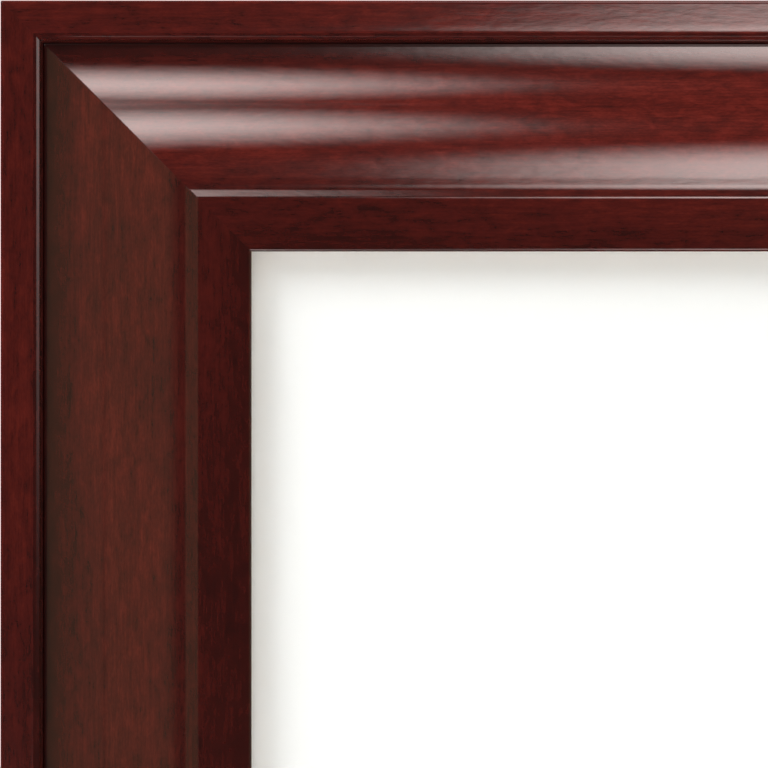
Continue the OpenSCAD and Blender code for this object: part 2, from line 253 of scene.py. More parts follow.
class StudioSizes(bpy.types.PropertyGroup):
    """The camera's view and the strength of the lamps."""

    view_w: length("View width", "Width of the view at the moulding's sight flat", 195)
    view_in: length("View place", "From the frame's outer edges to the middle of the view", 97.2)
    camera_far: length("Camera distance", "From the camera to the frame's face", 4000, 10)
    low_left: number("Low left", "Brightness of the lamp that lights the scoop's middle", 12.1, 100)
    low_right: number("Low right", "Brightness of the lamp that lights the scoop's rims", 12.1, 100)
    low_end: number("Low end", "Brightness of the dim lamp below them", 4.6, 100)
    key: number("Key", "Brightness of the lamp at the upper left", 11.3, 100)
    fill: number("Fill", "Brightness of the lamp at the right", 2, 100)
    high: number("High", "Brightness of the lamp above the frame", 4, 100)
    rim: number("Rim", "Brightness of the lamp above and behind the frame", 2.2, 100)
    graze: number("Graze", "Brightness of the lamp beside the frame", 3.2, 100)
    side: number("Side", "Brightness of the broad lamp at the right", 0.35, 100)
    behind_left: number("Behind left", "Brightness of a lamp behind the frame", 1.6, 100)
    behind_right: number("Behind right", "Brightness of the other lamp behind the frame", 1.6, 100)
    sky: number("Front room", "Brightness of the room in front of the frame", 0.12, 10)
    back_sky: number("Back room", "Brightness of the room behind the frame", 1.0, 10)


def put(tree, kind, values=None, links=None, **settings):
    """Adds a node with its settings and socket values, and links other nodes' sockets into it."""
    made = tree.nodes.new(kind)
    for name, value in settings.items():
        setattr(made, name, value)
    for socket, value in (values or {}).items():
        made.inputs[socket].default_value = value
    for socket, source in (links or {}).items():
        tree.links.new(source, made.inputs[socket])
    return made


def maths(tree, operation, *terms):
    """The result of an operation on terms that are numbers or other nodes' sockets."""
    values = {i: term for i, term in enumerate(terms) if isinstance(term, (int, float))}
    links = {i: term for i, term in enumerate(terms) if i not in values}
    return put(tree, "ShaderNodeMath", values, links, operation=operation).outputs[0]


def rgba(linear_colour):
    """A colour with full cover."""
    return (*linear_colour, 1)


def new_material(name, values, links=None):
    """A material with one shader. links makes what drives it, from the empty node tree."""
    made = bpy.data.materials.new(name)
    made.use_nodes = True
    tree = made.node_tree
    tree.nodes.clear()
    shader = put(tree, "ShaderNodeBsdfPrincipled", values, links(tree) if links else None)
    put(tree, "ShaderNodeOutputMaterial", links={"Surface": shader.outputs["BSDF"]})
    return made


def grain_place(tree, along_mm, across_mm):
    """Coordinates in which one unit is a length along the grain and a width across it."""
    uv = put(tree, "ShaderNodeUVMap", uv_map="Grain")
    scale = (1 / (along_mm * MM), 1 / (across_mm * MM), 1)
    return put(tree, "ShaderNodeMapping", {"Scale": scale}, {"Vector": uv.outputs["UV"]}).outputs["Vector"]


def solid_place(tree, size_mm):
    """Coordinates of the object in which one unit is the given size."""
    place = put(tree, "ShaderNodeTexCoord").outputs["Object"]
    scale = (1 / (size_mm * MM),) * 3
    return put(tree, "ShaderNodeMapping", {"Scale": scale}, {"Vector": place}).outputs["Vector"]


def noise(tree, place, detail, rough, distortion=0.0):
    """Cloudy noise from 0 to 1 at the given coordinates."""
    values = {"Scale": 1.0, "Detail": detail, "Roughness": rough, "Distortion": distortion}
    return put(tree, "ShaderNodeTexNoise", values, {"Vector": place}).outputs["Fac"]


def spread(tree, source, low, high, new_low=0.0, new_high=1.0):
    """Maps a value's range to another."""
    values = {"From Min": low, "From Max": high, "To Min": new_low, "To Max": new_high}
    return put(tree, "ShaderNodeMapRange", values, {"Value": source}).outputs["Result"]


def sum_of(tree, *weighted):
    """The sum of values, each with its weight."""
    total = 0.0
    for source, weight in weighted:
        total = maths(tree, "MULTIPLY_ADD", source, weight, total)
    return total


def ramp(tree, source, *stops):
    """Colours along a value, as (place, colour) stops."""
    made = put(tree, "ShaderNodeValToRGB", links={"Fac": source})
    elements = made.color_ramp.elements
    while len(elements) < len(stops):
        elements.new(1)
    for element, (place, shade) in zip(elements, stops):
        element.position, element.color = place, rgba(shade)
    return made.outputs["Color"]


def bump(tree, height, depth_mm, strength):
    """A normal tilted by a height field whose full range is the given depth."""
    values = {"Distance": depth_mm * MM, "Strength": strength}
    return put(tree, "ShaderNodeBump", values, {"Height": height}).outputs["Normal"]


def mahogany_lacquer(c):
    """Red mahogany stain under sprayed satin lacquer: the grain shows through as soft red and dark streaks.

    The lacquer lies level over it and gives broad, soft-edged highlights.
    """

    def links(tree):
        ribbon = noise(tree, grain_place(tree, 70, 9), 2, 0.5, 0.4)
        mottle = noise(tree, grain_place(tree, 6, 2.6), 3, 0.55, 0.6)
        streak = noise(tree, grain_place(tree, 11, 0.75), 3, 0.6)
        pores = noise(tree, grain_place(tree, 1.2, 0.4), 1, 0.5)
        stain = sum_of(tree, (ribbon, 0.24), (mottle, 0.33), (streak, 0.28), (pores, 0.15))
        wood = ramp(tree, stain, (0.35, c.wood_dark), (0.5, c.wood_mid), (0.65, c.wood_light))
        # The Tone attribute scales the stain's colour; under the lip, in the quirk and along the sides it is
        # painted shade.
        tone = put(tree, "ShaderNodeAttribute", attribute_name="Tone").outputs["Fac"]
        shade = put(tree, "ShaderNodeVectorMath", links={0: wood, "Scale": tone}, operation="SCALE")
        ripple = noise(tree, grain_place(tree, 5, 1.6), 2, 0.5)
        lacquer = bump(tree, sum_of(tree, (ripple, 0.8), (streak, 0.2)), 0.02, 0.6)
        return {"Base Color": shade.outputs[0], "Normal": lacquer}

    values = {"Roughness": 0.07, "IOR": 1.5, "Specular Tint": rgba(c.lacquer)}
    return new_material("mahogany_lacquer", values, links)


def bare_wood(c):
    """Planed hardwood, left bare on the back: pale, matt, with fine straight grain."""

    def links(tree):
        bands = noise(tree, grain_place(tree, 120, 3), 3, 0.55, 0.3)
        fibres = noise(tree, grain_place(tree, 14, 0.35), 2, 0.6)
        grain = sum_of(tree, (bands, 0.65), (fibres, 0.35))
        shade = ramp(tree, grain, (0.36, c.raw_wood_dark), (0.62, c.raw_wood))
        return {"Base Color": shade, "Normal": bump(tree, fibres, 0.05, 0.7)}

    return new_material("bare_wood", {"Roughness": 0.72}, links)


def float_glass(c):
    """Clear float glass: almost nothing shows but a faint, sharp reflection."""
    values = {"Base Color": rgba(c.glass), "Roughness": 0.02, "IOR": 1.52, "Alpha": 0.06}
    return new_material("float_glass", values)


def blank_card(c):
    """Blank white card: matt, with the faint tooth of its paper."""

    def links(tree):
        tooth = noise(tree, solid_place(tree, 0.5), 3, 0.6)
        return {"Normal": bump(tree, tooth, 0.02, 0.4)}

    return new_material("blank_card", {"Base Color": rgba(c.card), "Roughness": 0.9}, links)


def pressed_fibre(name, shade, fleck_mm, rough):
    """Pressed fibre: matt brown with fine flecks and cloudy patches."""

    def links(tree):
        flecks = noise(tree, solid_place(tree, fleck_mm), 4, 0.65)
        clouds = noise(tree, solid_place(tree, 22), 2, 0.5)
        mixed = sum_of(tree, (flecks, 0.6), (clouds, 0.4))
        dark = [x * 0.8 for x in shade]
        light = [min(1, x * 1.15) for x in shade]
        mottled = ramp(tree, mixed, (0.36, dark), (0.64, light))
        return {"Base Color": mottled, "Normal": bump(tree, flecks, 0.05, 0.5)}

    return new_material(name, {"Roughness": rough, "Specular IOR Level": 0.3}, links)


def tempered_board(c):
    """Tempered hardboard: wood fibre pressed smooth, dark brown with a slight sheen."""
    return pressed_fibre("tempered_board", c.hardboard, 0.6, 0.62)


def brown_card(c):
    """Grey-brown filler card: recycled paper fibre, quite matt."""
    return pressed_fibre("brown_card", c.brown_card, 0.8, 0.85)


def plated(name, shade, rough):
    """Plate on drawn steel: metallic, with fine lines and cloudy patches in its polish."""

    def links(tree):
        clouds = noise(tree, solid_place(tree, 4), 3, 0.6)
        lines = noise(tree, solid_place(tree, 0.3), 2, 0.6)
        dull = [x * 0.8 for x in shade]
        return {
            "Base Color": ramp(tree, clouds, (0.3, dull), (0.65, shade)),
            "Roughness": spread(tree, clouds, 0.3, 0.7, rough * 0.8, rough * 1.3),
            "Normal": bump(tree, lines, 0.01, 0.4),
        }

    return new_material(name, {"Metallic": 1.0}, links)


def zinc_plate(c):
    """Bright zinc on stamped steel: bluish grey, satin, a little cloudy."""
    return plated("zinc_plate", c.zinc, 0.34)


def nickel_plate(c):
    """Nickel on bent wire: warm silver with a mirror-like polish."""
    return plated("nickel_plate", c.nickel, 0.16)


def brass_plate(c):
    """Brass on rolled screws: yellow, fairly bright."""
    return plated("brass_plate", c.brass, 0.26)


def bright_steel(c):
    """Bare strip steel of the corner nails, ground by the hammer: grey and dull."""
    return plated("bright_steel", c.steel, 0.36)


def moulded_rubber(c):
    """Moulded black rubber: matt, with a fine pebbled skin."""

    def links(tree):
        skin = noise(tree, solid_place(tree, 0.35), 3, 0.6)
        return {"Normal": bump(tree, skin, 0.04, 0.6)}

    return new_material("moulded_rubber", {"Base Color": rgba(c.rubber), "Roughness": 0.7}, links)


def painted_floor(c):
    """Matt painted studio floor with a barely visible roller texture."""

    def links(tree):
        roller = noise(tree, solid_place(tree, 6), 3, 0.6)
        return {"Normal": bump(tree, roller, 0.1, 0.3)}

    return new_material("painted_floor", {"Base Color": rgba(c.floor), "Roughness": 0.85}, links)


def finish(make):
    """The material of that maker, made once. No maker may have the name of a slot of the frame."""
    return bpy.data.materials.get(make.__name__) or make(bpy.context.scene.frame_colours)


def dress_node(name, material):
    """Gives a CAD node that stays in view its material."""
    slots = NODES[name].data.materials
    slots.clear()
    slots.append(material)


def add_object(name, data):
    """A new object in the scene."""
    made = bpy.data.objects.new(name, data)
    bpy.context.scene.collection.objects.link(made)
    return made


def mesh_of(name, bm):
    """The mesh of what was built, which is then freed."""
    mesh = bpy.data.meshes.new(name)
    bm.to_mesh(mesh)
    bm.free()
    return mesh


def piece(name, mesh, body, slot, *replaced):
    """A finished piece that rides on a body and stands for CAD nodes."""
    return fit(add_object(name, mesh), body, slot, *replaced)


def fit(made, body, slot, *replaced):
    """Rides a piece on a body in place of CAD nodes. The slot is not used."""
    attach(made, body)
    if replaced:
        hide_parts(*replaced)
    return made


def bend(start, r, a, b, steps):
    """Points of an arc that starts at a point, while the downhill slope goes from a to b."""
    turn = 1 if b > a else -1
    slopes = [a + (b - a) * i / steps for i in range(steps + 1)]
    return [start + turn * r * Vector((math.sin(t) - math.sin(a), math.cos(t) - math.cos(a))) for t in slopes]


def downhill(start, slope, drop):
    """The next point down a straight slope of the given drop."""
    return start + Vector((drop / math.tan(slope), -drop))


def face_section(s):
    """The face of the moulding from the outer arris to the sight edge.

    Each point is its distance in and height above the back, and how light it is drawn, partly with painted
    shade.
    """
    quarter = math.pi / 2
    top = RAIL_D - s.edge_round
    lip = bend(Vector((0, top)), s.edge_round, -quarter, s.lip_fall, 10)
    lip_end = downhill(lip[-1], s.lip_fall, (s.lip_w - s.lip_crown_w - lip[-1].x) * math.tan(s.lip_fall))
    crown_r = s.lip_crown_w / (math.sin(s.lip_crown) - math.sin(s.lip_fall))
    lip += bend(lip_end, crown_r, s.lip_fall, s.lip_crown, 6)
    lip += bend(lip[-1], s.band_cove_r, s.lip_crown, s.band_slope, 6)[1:]
    lip.append(downhill(lip[-1], s.band_slope, (s.lip_w + s.band_w - lip[-1].x) * math.tan(s.band_slope)))
    band = len(lip)
    cove_end = band - 3
    lip += bend(lip[-1], s.lip_round, s.band_slope, s.bevel_slope, 5)[1:]
    lip.append(downhill(lip[-1], s.bevel_slope, s.bevel_w * math.tan(s.bevel_slope)))
    lip += bend(lip[-1], s.lip_round, s.bevel_slope, s.lip_slope, 4)[1:]
    foot = downhill(lip[-1], s.lip_slope, lip[-1].y - RAIL_D + s.lip_drop)
    lip.append(lip[-1].lerp(foot, 0.8))
    floor = foot + Vector((s.quirk_w, 0))
    rise = s.quirk_d - s.arris_round * (1 - math.cos(s.quirk_slope))
    arris = bend(downhill(floor, -s.quirk_slope, -rise), s.arris_round, -s.quirk_slope, s.crown_slope, 8)
    scoop = bend(arris[-1], s.crown_r, s.crown_slope, s.steep_slope, 30)
    scoop += bend(scoop[-1], s.hollow_r, s.steep_slope, s.foot_slope, 34)[1:]
    run = scoop[-1] + s.foot_run * Vector((math.cos(s.foot_slope), -math.sin(s.foot_slope)))
    bead = bend(run, s.bead_round, s.foot_slope, s.bead_slope, 10)
    facet = bead[-1] + s.bead_face * Vector((math.cos(s.bead_slope), -math.sin(s.bead_slope)))
    bead += bend(facet, s.bead_foot_r, s.bead_slope, 0, 8)
    flat = bend(Vector((RAIL_W - s.sight_round, bead[-1].y)), s.sight_round, 0, quarter, 8)
    toned = [(p, s.lip_tone) for p in lip[:cove_end]] + [(p, s.band_tone) for p in lip[cove_end:band]]
    # Painted shade: the lip's inner wall and the quirk are darkened where the lip shades them.
    toned += [(p, s.quirk_tone) for p in (*lip[band:], foot, floor)]
    toned += [(p, s.crown_tone) for p in arris]
    # Painted shadow: the scoop is darkest at its upper arris, where the lip shades it, and lightens down the
    # scoop.
    for i, p in enumerate(scoop[1:], 1):
        share = i / (len(scoop) - 1)
        under_lip_shadow = s.crown_tone + (1 - s.crown_tone) * share / s.crown_fade
        toned.append((p, min(under_lip_shadow, 1, s.bead_tone + (1 - share) / s.bead_fade)))
    return toned + [(p, s.bead_tone) for p in bead] + [(p, s.sight_tone) for p in flat]


def back_section(s):
    """The rest of the section: sight edge, rabbet, back and outer side."""
    side = RAIL_W - s.rabbet_w
    corners = [(RAIL_W, RABBET_D), (side, RABBET_D), (side, 0), (s.back_ease, 0), (0, s.back_ease)]
    return [Vector(c) for c in corners]


def inset(points, depth):
    """A closed section moved in by a depth, each point along the mean of its two edges' normals."""
    moved = []
    for i, here in enumerate(points):
        before, after = points[i - 1], points[(i + 1) % len(points)]
        tangent = (after - here).normalized() + (here - before).normalized()
        moved.append(here - depth * Vector((-tangent.y, tangent.x)).normalized())
    return moved


def smooth_mesh(name, build, sharp_deg=35):
    """A mesh built by the given function, smooth but for edges sharper than an angle."""
    bm = bmesh.new()
    build(bm)
    bmesh.ops.recalc_face_normals(bm, faces=bm.faces)
    for f in bm.faces:
        f.smooth = True
    for e in bm.edges:
        if len(e.link_faces) == 2 and e.calc_face_angle(0) > math.radians(sharp_deg):
            e.smooth = False
    return mesh_of(name, bm)


def rail_mesh(name, long, reach, turn, order, board):
    """One mitred side of the frame: the section swept along it, with its grain laid out in real lengths.

    long is its length and reach the frame's size across it. order sets its grain apart from the others'.
    """
    s = bpy.context.scene.frame_moulding
    toned = face_section(s)
    face = [point for point, _ in toned]
    section = face + back_section(s)
    tones = [tone for _, tone in toned] + [s.lip_tone] * (len(section) - len(face))
    eased = inset(section, s.mitre_ease)
    count, face_count = len(section), len(face)
    strides = 26
    spin = Matrix.Rotation(math.radians(turn), 4, "Y")
    developed = measured(section + section[:1])

    def place(point, t, draw_in):
        x = t * (long / 2 - point.x - draw_in)
        return CENTRE + spin @ Vector((x, -point.y, point.x - reach / 2))

    def build(bm):
        uv = bm.loops.layers.uv.new("Grain")
        depth = bm.verts.layers.float.new("Tone")
        rings = [[bm.verts.new(place(p, -1, 0)) for p in eased]]
        for i in range(strides + 1):
            rings.append([bm.verts.new(place(p, 2 * i / strides - 1, s.mitre_reach)) for p in section])
        rings.append([bm.verts.new(place(p, 1, 0)) for p in eased])
        # Each tone is scaled by its side's lightness, partly painted shade, and by the painted fall-off along
        # the side
        for ring in rings:
            for v, tone in zip(ring, tones):
                turned = 2 * math.pi * (spin.inverted() @ (v.co - CENTRE)).x / s.drift_len
                v[depth] = tone * board * (1 - s.drift * math.sin(turned))
        for low, high in zip(rings, rings[1:]):
            for k in range(count):
                n = (k + 1) % count
                f = bm.faces.new((low[k], low[n], high[n], high[k]))
                f.material_index = 0 if k < face_count - 1 or k >= count - 1 else 1
                ends = ((low[k], k), (low[n], k + 1), (high[n], k + 1), (high[k], k))
                for loop, (vert, at) in zip(f.loops, ends):
                    along = (spin.inverted() @ (vert.co - CENTRE)).x
                    loop[uv].uv = (along + order, developed[at])
        for ring in (rings[0], rings[-1]):
            cap = bm.faces.new(ring)
            cap.material_index = 1

    return smooth_mesh(name, build)


def slot_cutter():
    """What cuts the slots of the corner nails and the pilot holes of the screws, a little past the back."""
    s = bpy.context.scene.frame_fittings
    over, level, weld = 1 * MM, 0.1 * MM, 0.001 * MM
    bm = bmesh.new()
    for corner in CORNERS:
        bm.from_mesh(NODES["corner_nails_" + corner].data)
    for v in bm.verts:
        if v.co.y > BACK_Y - level:
            v.co.y += over
    drill = bmesh.new()
    hole_r = s.screw_dia / 2 + s.pilot_clear
    revolve(drill, [(0, -s.screw_len), (hole_r, -s.screw_len), (hole_r, over), (0, over)])
    spots = [place for _, place in button_spots()] + strap_screw_spots()
    bm.from_mesh(joined("pilot_holes", mesh_of("pilot_hole", drill), spots))
    bmesh.ops.remove_doubles(bm, verts=bm.verts, dist=weld)
    bmesh.ops.recalc_face_normals(bm, faces=bm.faces)
    return add_object("slots", mesh_of("slots", bm))


def cut(made, cutter, least=0.7):
    """Takes one piece's shape out of another, of which at least this share of its faces has to be left."""
    change = made.modifiers.new("cut", "BOOLEAN")
    change.object, change.operation, change.solver = cutter, "DIFFERENCE", "EXACT"
    evaluated = made.evaluated_get(bpy.context.evaluated_depsgraph_get())
    mesh = bpy.data.meshes.new_from_object(evaluated)
    if len(mesh.polygons) < least * len(made.data.polygons):
        raise RuntimeError(made.name + " lost faces when it was cut")
    made.modifiers.clear()
    made.data = mesh


def skin(bm, rings, closed=False):
    """Quads between rings of as many points each, or triangles to a ring of one point."""
    pairs = list(zip(rings, rings[1:]))
    if closed:
        pairs.append((rings[-1], rings[0]))
    for low, high in pairs:
        steps = max(len(low), len(high))
        for i in range(steps):
            j = (i + 1) % steps
            quad = [low[i % len(low)], low[j % len(low)], high[j % len(high)], high[i % len(high)]]
            bm.faces.new(list(dict.fromkeys(quad)))


def revolve(bm, outline, steps=32, groove=None):
    """Turns an outline of (radius, height) points about Y.

    groove gives the depth to take off at a turn and a height.
    """
    rings = []
    for r, h in outline:
        turns = [2 * math.pi * i / steps for i in range(steps if r else 1)]
        left = [r - (groove(a, h) if groove and r else 0) for a in turns]
        rings.append([bm.verts.new((d * math.cos(a), h, d * math.sin(a))) for a, d in zip(turns, left)])
    skin(bm, rings)


def arc(centre, r, a, b, steps):
    """Points of an arc between two angles in degrees."""
    turns = [math.radians(a + (b - a) * i / steps) for i in range(steps + 1)]
    return [Vector((centre[0] + r * math.cos(t), centre[1] + r * math.sin(t))) for t in turns]


def stamp(bm, rim, eyes, thick, creases, ease):
    """A plate of sheet steel in X and Z with round eyes, creased where it will bend, its edges eased."""
    edges = []
    for line in (rim, *eyes):
        verts = [bm.verts.new((p.x, 0, p.y)) for p in line]
        edges += [bm.edges.new(pair) for pair in zip(verts, verts[1:] + verts[:1])]
    bmesh.ops.triangle_fill(bm, use_beauty=True, edges=edges)
    for z in creases:
        parts = bm.verts[:] + bm.edges[:] + bm.faces[:]
        bmesh.ops.bisect_plane(bm, geom=parts, plane_co=(0, 0, z), plane_no=(0, 0, 1))
    bmesh.ops.recalc_face_normals(bm, faces=bm.faces)
    grown = bmesh.ops.extrude_face_region(bm, geom=bm.faces[:])["geom"]
    for v in (part for part in grown if isinstance(part, bmesh.types.BMVert)):
        v.co.y = thick
    bmesh.ops.recalc_face_normals(bm, faces=bm.faces)
    sharp = [e for e in bm.edges if len(e.link_faces) == 2 and e.calc_face_angle(0) > math.radians(60)]
    bmesh.ops.bevel(bm, geom=sharp, offset=ease, segments=2, profile=0.5, affect="EDGES")


def measured(path):
    """The distances along a path to each of its points."""
    along = [0.0]
    for a, b in zip(path, path[1:]):
        along.append(along[-1] + (b - a).length)
    return along


def fold(bm, path, thick):
    """Bends a flat plate so that the middle of its steel follows a path of (Z, Y) points."""
    along = measured(path)
    for v in bm.verts:
        i = max(0, min(bisect.bisect_right(along, v.co.z) - 1, len(path) - 2))
        share = (v.co.z - along[i]) / (along[i + 1] - along[i])
        run = (path[i + 1] - path[i]).normalized()
        ends = [path[max(0, k - 1)] - path[min(len(path) - 1, k + 1)] for k in (i, i + 1)]
        across = -(ends[0].normalized().lerp(ends[1].normalized(), min(1, max(0, share))))
        middle = path[i] + run * (v.co.z - along[i])
        at = middle + (v.co.y - thick / 2) * Vector((-across.y, across.x)).normalized()
        v.co.y, v.co.z = at.y, at.x


def wire(bm, path, r, steps=20):
    """Round wire along a closed path in X and Z."""
    rings = []
    spokes = [(r * math.cos(a), r * math.sin(a)) for a in (2 * math.pi * i / steps for i in range(steps))]
    for before, here, after in zip(path[-1:] + path[:-1], path, path[1:] + path[:1]):
        run = (after - before).normalized()
        rings.append([bm.verts.new((here.x + out * run.y, up, here.y - out * run.x)) for out, up in spokes])
    skin(bm, rings, closed=True)


def weigh_normals(made):
    """Keeps large flat faces flat between their rounded edges."""
    made.modifiers.new("flat_faces", "WEIGHTED_NORMAL").keep_sharp = True


def on_back(spot, turn=0):
    """Where a fitting lies on the back at a spot, its Z turned from straight up."""
    return Matrix.Translation((spot[0], BACK_Y, spot[2])) @ Matrix.Rotation(math.radians(turn), 4, "Y")


def joined(name, mesh, places):
    """One mesh made of copies of another, one at each place."""
    bm = bmesh.new()
    for place in places:
        copy = mesh.copy()
        copy.transform(place)
        bm.from_mesh(copy)
        bpy.data.meshes.remove(copy)
    return mesh_of(name, bm)


def placed(name, mesh, place, material, body, slot, node):
    """A fitting on the back that stands for a CAD node."""
    made = add_object(name, mesh)
    made.matrix_world = place
    mesh.materials.clear()
    mesh.materials.append(material)
    weigh_normals(made)
    return fit(made, body, slot, node)


def button_spots():
    """Each turn button's name, and its place."""
    return [(name, on_back(JOINTS["button_" + name]["pos_m"], turn)) for name, turn in BUTTONS]


def hanger_spots():
    """Each hanger's name, and the place of its ring's bar on the back."""
    return [(name, on_back(JOINTS["ring_" + name]["pos_m"], turn)) for name, turn in HANGERS]


def strap_screw_spots():
    """The place of each screw of the hangers on the back."""
    s = bpy.context.scene.frame_fittings
    steps = (s.strap_screw, s.strap_screw + s.strap_pitch)
    return [place @ Matrix.Translation((0, 0, -step)) for _, place in hanger_spots() for step in steps]


class FRAME_OT_mouldings(bpy.types.Operator):
    """Draw the four mitred mouldings, with the slots of their corner nails"""

    bl_idname = "frame.mouldings"
    bl_label = "Mouldings"

    def execute(self, context):
        cutter = slot_cutter()
        for order, (node, turn, board) in enumerate(SIDES):
            long, reach = (OUTER_W, OUTER_H) if turn % 180 == 0 else (OUTER_H, OUTER_W)
            mesh = rail_mesh(node, long, reach, turn, order, board)
            made = piece("lacquered_" + node, mesh, "frame", "stained_wood", node)
            for maker in (mahogany_lacquer, bare_wood):
                made.data.materials.append(finish(maker))
            cut(made, cutter)
            weigh_normals(made)
        bpy.data.objects.remove(cutter)
        for c in CORNERS:
            dress_node("corner_nails_" + c, finish(bright_steel))
        return {"FINISHED"}


def pane_mesh(ease, gap):
    """The glass pane, its cut edges seamed, and its back a hair off the sheet behind it."""
    middle = (GLASS_LOW + GLASS_HIGH) / 2
    size = GLASS_HIGH - GLASS_LOW

    def build(bm):
        place = Matrix.Translation(middle) @ Matrix.Diagonal((size.x, size.y, size.z, 1))
        bmesh.ops.create_cube(bm, size=1, matrix=place)
        for v in bm.verts:
            if v.co.y > middle.y:
                v.co.y -= gap
        bmesh.ops.bevel(bm, geom=bm.edges[:], offset=ease, segments=1, affect="EDGES")

    return smooth_mesh("pane", build, 20)


class FRAME_OT_sheets(bpy.types.Operator):
    """Cut the glass pane and finish the blank sheet and the boards behind it"""

    bl_idname = "frame.sheets"
    bl_label = "Glass and Boards"

    def execute(self, context):
        s = context.scene.frame_fittings
        pane = piece("seamed_pane", pane_mesh(s.pane_ease, s.pane_gap), "frame", "clear_glass", "glazing")
        pane.data.materials.append(finish(float_glass))
        dress_node("insert_sheet", finish(blank_card))
        dress_node("filler_board", finish(brown_card))
        dress_node("backing_board", finish(tempered_board))
        return {"FINISHED"}


def button_mesh(s):
    """A turn button: a tapered finger on a round eye, its tip bent up for a fingernail."""
    slope = math.atan2(s.button_rise, s.button_bend)
    start = s.button_len + s.button_tip_w / 2 - s.button_bend
    middle = s.button_t / 2
    bow = arc((start, middle + s.button_w), s.button_w, -90, math.degrees(slope) - 90, 8)
    tip = bow[-1] + s.button_bend * Vector((math.cos(slope), math.sin(slope)))
    path = [Vector((-s.button_w, middle)), *bow, tip]
    along = measured(path)

    def build(bm):
        shift = Vector((0, s.button_w))
        rim = [p + shift for p in arc((0, 0), s.button_w / 2, 180, 360, 20)]
        rim += [p + shift for p in arc((0, s.button_len), s.button_tip_w / 2, 0, 180, 16)]
        eye = [p + shift for p in arc((0, 0), s.screw_dia / 2 + s.button_clear, 0, 360, 28)[:-1]]
        stamp(bm, rim, [eye], s.button_t, along[1:-1], s.fitting_ease)
        fold(bm, path, s.button_t)

    return smooth_mesh("turn_button", build, 80)


class FRAME_OT_turn_buttons(bpy.types.Operator):
    """Draw the eight stamped turn buttons"""

    bl_idname = "frame.turn_buttons"
    bl_label = "Turn Buttons"

    def execute(self, context):
        mesh = button_mesh(context.scene.frame_fittings)
        for name, place in button_spots():
            placed(
                "stamped_button_" + name, mesh.copy(), place, finish(zinc_plate),
                "button_" + name, "zinc_steel", "turn_button_" + name,
            )
        return {"FINISHED"}


def strap_mesh(s, bar_h):
    """A strap: a strip with rounded ends, rolled round the ring's bar and folded back on itself."""
    middle = s.strap_t / 2
    roll_r = s.ring_wire / 2 + s.ring_clear + middle
    back_r = 1.2 * MM
    fall = math.asin((3 * middle + back_r - bar_h) / (roll_r + back_r))
    roll = arc((0, bar_h), roll_r, -90, 180 - math.degrees(fall), 30)
    turn_x = -(roll_r + back_r) * math.cos(fall)
    back = arc((turn_x, 3 * middle + back_r), back_r, -math.degrees(fall), -90, 8)
    path = [Vector((-s.strap_len, middle)), Vector((-roll_r, middle)), *roll, *back[1:]]
    path.append(Vector((-s.strap_len, 3 * middle)))
    along = measured(path)
    half = s.strap_w / 2
    eye_r = s.screw_dia / 2 + s.pilot_clear

    def build(bm):
        rim = arc((0, half), half, 180, 360, 24) + arc((0, along[-1] - half), half, 0, 180, 24)
        eyes = []
        for step in (s.strap_screw, s.strap_screw + s.strap_pitch):
            for z in (s.strap_len - step, along[-1] - s.strap_len + step):
                eyes.append(arc((0, z), eye_r, 0, 360, 24)[:-1])
        stamp(bm, rim, eyes, s.strap_t, along[1:-1], s.fitting_ease)
        fold(bm, path, s.strap_t)

    return smooth_mesh("strap", build, 80)


def ring_mesh(s, bar_h):
    """A D-ring: a bar, two tight corners and a round bow of wire."""
    half = s.ring_r - s.ring_corner_r
    rise = s.ring_corner_r
    path = [Vector((half * i / 4, 0)) for i in range(-3, 4)]
    path += arc((half, rise), rise, -90, 0, 8)[:-1] + arc((0, rise), s.ring_r, 0, 180, 48)
    path += arc((-half, rise), rise, 180, 270, 8)[1:]

    def build(bm):
        wire(bm, path, s.ring_wire / 2)
        bmesh.ops.translate(bm, verts=bm.verts, vec=(0, bar_h, 0))

    return smooth_mesh("ring", build)


def screw_mesh(s, under):
    """A cross-head wood screw whose head starts at a height above the back."""
    shank, head = s.screw_dia / 2, s.screw_head / 2
    rim, dome = under + s.screw_rim_h, s.screw_head_h - s.screw_rim_h
    bottom = s.screw_point - s.screw_len
    rings_per_turn = 6
    rows = int(-bottom / s.thread_pitch * rings_per_turn)
    outline = [(0, -s.screw_len), (shank * 0.5, (bottom - s.screw_len) / 2)]
    outline += [(shank, bottom * (1 - i / rows)) for i in range(rows + 1)]
    neck = 0.35 * MM
    outline += [(shank, under), (head - neck / 3, under), (head, under + neck / 3)]
    rounds = [math.pi / 2 * i / 10 for i in range(10)]
    outline += [(head * math.cos(t), rim + dome * math.sin(t)) for t in rounds] + [(0, rim + dome)]

    def groove(turn, height):
        """The thread's valley, which runs out below the smooth neck."""
        if height > -2 * s.thread_pitch or height < bottom:
            return 0
        phase = (height / s.thread_pitch - turn / (2 * math.pi)) % 1
        return s.thread_deep * min(1, 2.2 * min(phase, 1 - phase))

    def recess(bm):
        """A cross that tapers from above the head to its floor: half lengths, half widths and heights."""
        rings = []
        ends = ((1.95 * MM, 0.55 * MM, rim + dome + 0.2 * MM), (0.8 * MM, 0.3 * MM, rim - 0.25 * MM))
        for long, wide, h in ends:
            plus = [(long, -wide), (long, wide), (wide, wide), (wide, long), (-wide, long), (-wide, wide)]
            plus += [(-x, -z) for x, z in plus]
            rings.append([bm.verts.new((x, h, z)) for x, z in plus])
        skin(bm, rings)
        for ring in rings:
            bm.faces.new(ring)

    turned = smooth_mesh("screw", lambda bm: revolve(bm, outline, 28, groove), 50)
    screw = add_object("screw", turned)
    cross = add_object("cross", smooth_mesh("cross", recess))
    cut(screw, cross)
    mesh = screw.data
    for made in (screw, cross):
        bpy.data.objects.remove(made)
    return mesh


